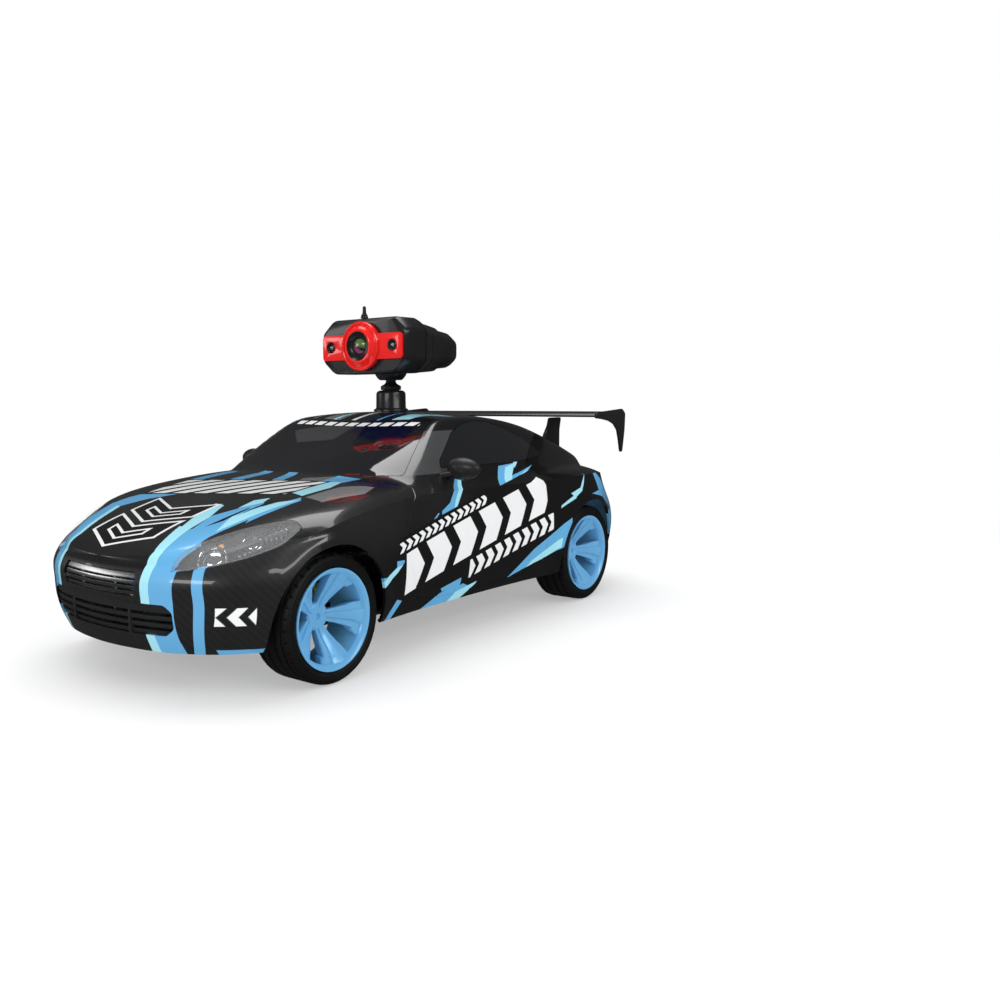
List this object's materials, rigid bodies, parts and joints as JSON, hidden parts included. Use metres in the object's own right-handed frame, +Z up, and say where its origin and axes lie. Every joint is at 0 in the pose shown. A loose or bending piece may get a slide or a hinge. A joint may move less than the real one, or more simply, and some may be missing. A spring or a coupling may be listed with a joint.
{
  "type": "remote control car",
  "caption": "Remote control coupe with steered front wheels, sprung front and rear ends, geared rear drive, rear wing and a tilting roof camera on a ball mount.",
  "frame": {"origin": "on the ground, below the middle of the overall length and width", "axes": "+X forward, +Y to the car's left, +Z up"},
  "size_m": [0.4281, 0.2018, 0.1995],
  "materials": {
    "body_paint": "glossy black with printed livery",
    "tinted_glazing": "glossy dark tint",
    "clear_lens": "clear moulded lens",
    "bright_chrome": "vacuum plated",
    "smoked_chrome": "dark plated bars",
    "lamp_red": "clear red lens",
    "black_trim": "fine moulded grain",
    "wing_black": "satin",
    "camera_black": "satin moulded",
    "camera_red": "glossy",
    "lens_glass": "coated dark glass",
    "chassis_black": "fine moulded grain",
    "battery_wrap": "shrink wrap",
    "board_green": "solder mask",
    "steel": "plated",
    "lime_plastic": "moulded",
    "natural_nylon": "moulded",
    "rim_blue": "satin light blue",
    "tyre_rubber": "matte rubber"
  },
  "bodies": {
    "chassis": {"body_shell": "body_paint", "windscreen": "tinted_glazing", "rear_glass": "tinted_glazing", "side_glass_left": "tinted_glazing", "side_glass_right": "tinted_glazing", "headlight_lens_left": "clear_lens", "headlight_lens_right": "clear_lens", "headlight_reflector_left": "bright_chrome", "headlight_reflector_right": "bright_chrome", "tail_lamp_left": "lamp_red", "tail_lamp_right": "lamp_red", "upper_grille": "smoked_chrome", "lower_grille": "black_trim", "mirror_left": "body_paint", "mirror_right": "body_paint", "wing_blade": "wing_black", "wing_endplate_left": "wing_black", "wing_endplate_right": "wing_black", "wing_stanchion_left": "wing_black", "wing_stanchion_right": "wing_black", "chassis_tub": "chassis_black", "battery_cover": "chassis_black", "battery_pack": "battery_wrap", "circuit_board": "board_green", "front_bulkhead": "chassis_black", "kingpin_left": "steel", "kingpin_right": "steel", "front_spring_left": "steel", "front_spring_right": "steel", "steering_servo": "black_trim", "pod_hinge_pin": "steel", "rear_spring_left": "steel", "rear_spring_right": "steel", "camera_base": "camera_black"},
    "power_switch": {"power_switch": "black_trim"},
    "camera_swivel": {"camera_swivel": "camera_black"},
    "camera_head": {"camera_housing_front": "camera_black", "camera_housing_rear": "camera_black", "camera_face": "camera_red", "camera_lens": "lens_glass", "camera_antenna": "camera_black"},
    "bump_left": {"kingpin_washer_left": "steel"},
    "bump_right": {"kingpin_washer_right": "steel"},
    "knuckle_left": {"steering_knuckle_left": "lime_plastic"},
    "knuckle_right": {"steering_knuckle_right": "lime_plastic"},
    "front_wheel_left": {"front_rim_left": "rim_blue", "front_tyre_left": "tyre_rubber"},
    "front_wheel_right": {"front_rim_right": "rim_blue", "front_tyre_right": "tyre_rubber"},
    "tie_rod": {"tie_rod": "natural_nylon"},
    "servo_horn": {"servo_horn": "natural_nylon"},
    "rear_pod": {"gearbox_housing": "chassis_black", "drive_motor": "steel"},
    "rear_axle": {"axle_shaft": "steel", "spur_gear": "natural_nylon", "rear_rim_left": "rim_blue", "rear_rim_right": "rim_blue", "rear_tyre_left": "tyre_rubber", "rear_tyre_right": "tyre_rubber"},
    "motor_shaft": {"motor_pinion": "natural_nylon"}
  },
  "joints": [
    {"name": "front_bump_left", "type": "slide", "parent": "chassis", "child": "bump_left", "axis": [0, 0, 1], "range_m": [0, 0.0025], "stiffness_N_per_m": 1500, "springref_m": -0.004, "deforming": ["front_spring_left"]},
    {"name": "front_bump_right", "type": "slide", "parent": "chassis", "child": "bump_right", "axis": [0, 0, 1], "range_m": [0, 0.0025], "stiffness_N_per_m": 1500, "springref_m": -0.004, "deforming": ["front_spring_right"]},
    {"name": "steer_left", "type": "hinge", "parent": "bump_left", "child": "knuckle_left", "pos_m": [0.137, 0.063, 0.033], "axis": [0, 0, 1], "range_deg": [-14, 14]},
    {"name": "steer_right", "type": "hinge", "parent": "bump_right", "child": "knuckle_right", "pos_m": [0.137, -0.063, 0.033], "axis": [0, 0, 1], "range_deg": [-14, 14]},
    {"name": "tie_rod_slide", "type": "slide", "parent": "chassis", "child": "tie_rod", "axis": [0, 1, 0], "range_m": [-0.0043, 0.0043]},
    {"name": "servo_horn_turn", "type": "hinge", "parent": "chassis", "child": "servo_horn", "pos_m": [0.111, 0, 0.036], "axis": [0, 0, 1], "range_deg": [-17, 17]},
    {"name": "front_left_spin", "type": "hinge", "parent": "knuckle_left", "child": "front_wheel_left", "pos_m": [0.137, 0.0775, 0.033], "axis": [0, 1, 0], "continuous": true},
    {"name": "front_right_spin", "type": "hinge", "parent": "knuckle_right", "child": "front_wheel_right", "pos_m": [0.137, -0.0775, 0.033], "axis": [0, 1, 0], "continuous": true},
    {"name": "rear_pod_pitch", "type": "hinge", "parent": "chassis", "child": "rear_pod", "pos_m": [-0.076, 0, 0.022], "axis": [0, 1, 0], "range_deg": [0, 4], "stiffness_Nm_per_rad": 4, "springref_deg": -11.46, "deforming": ["rear_spring_left", "rear_spring_right"]},
    {"name": "rear_axle_spin", "type": "hinge", "parent": "rear_pod", "child": "rear_axle", "pos_m": [-0.119, 0, 0.033], "axis": [0, 1, 0], "continuous": true},
    {"name": "motor_spin", "type": "hinge", "parent": "rear_pod", "child": "motor_shaft", "pos_m": [-0.10056, 0, 0.04589], "axis": [0, 1, 0], "continuous": true},
    {"name": "camera_pan", "type": "hinge", "parent": "chassis", "child": "camera_swivel", "pos_m": [-0.014, 0, 0.142], "axis": [0, 0, 1], "continuous": true},
    {"name": "camera_tilt", "type": "hinge", "parent": "camera_swivel", "child": "camera_head", "pos_m": [-0.014, 0, 0.1575], "axis": [0, 1, 0], "range_deg": [-15, 15]},
    {"name": "switch_slide", "type": "slide", "parent": "chassis", "child": "power_switch", "axis": [1, 0, 0], "range_m": [0, 0.004]}
  ],
  "couplings": [
    {"joint": "steer_right", "follows": "steer_left", "ratio": 1},
    {"joint": "tie_rod_slide", "follows": "steer_left", "m_per_rad": -0.014},
    {"joint": "servo_horn_turn", "follows": "steer_left", "ratio": -1.1667},
    {"joint": "motor_spin", "follows": "rear_axle_spin", "ratio": -3}
  ]
}
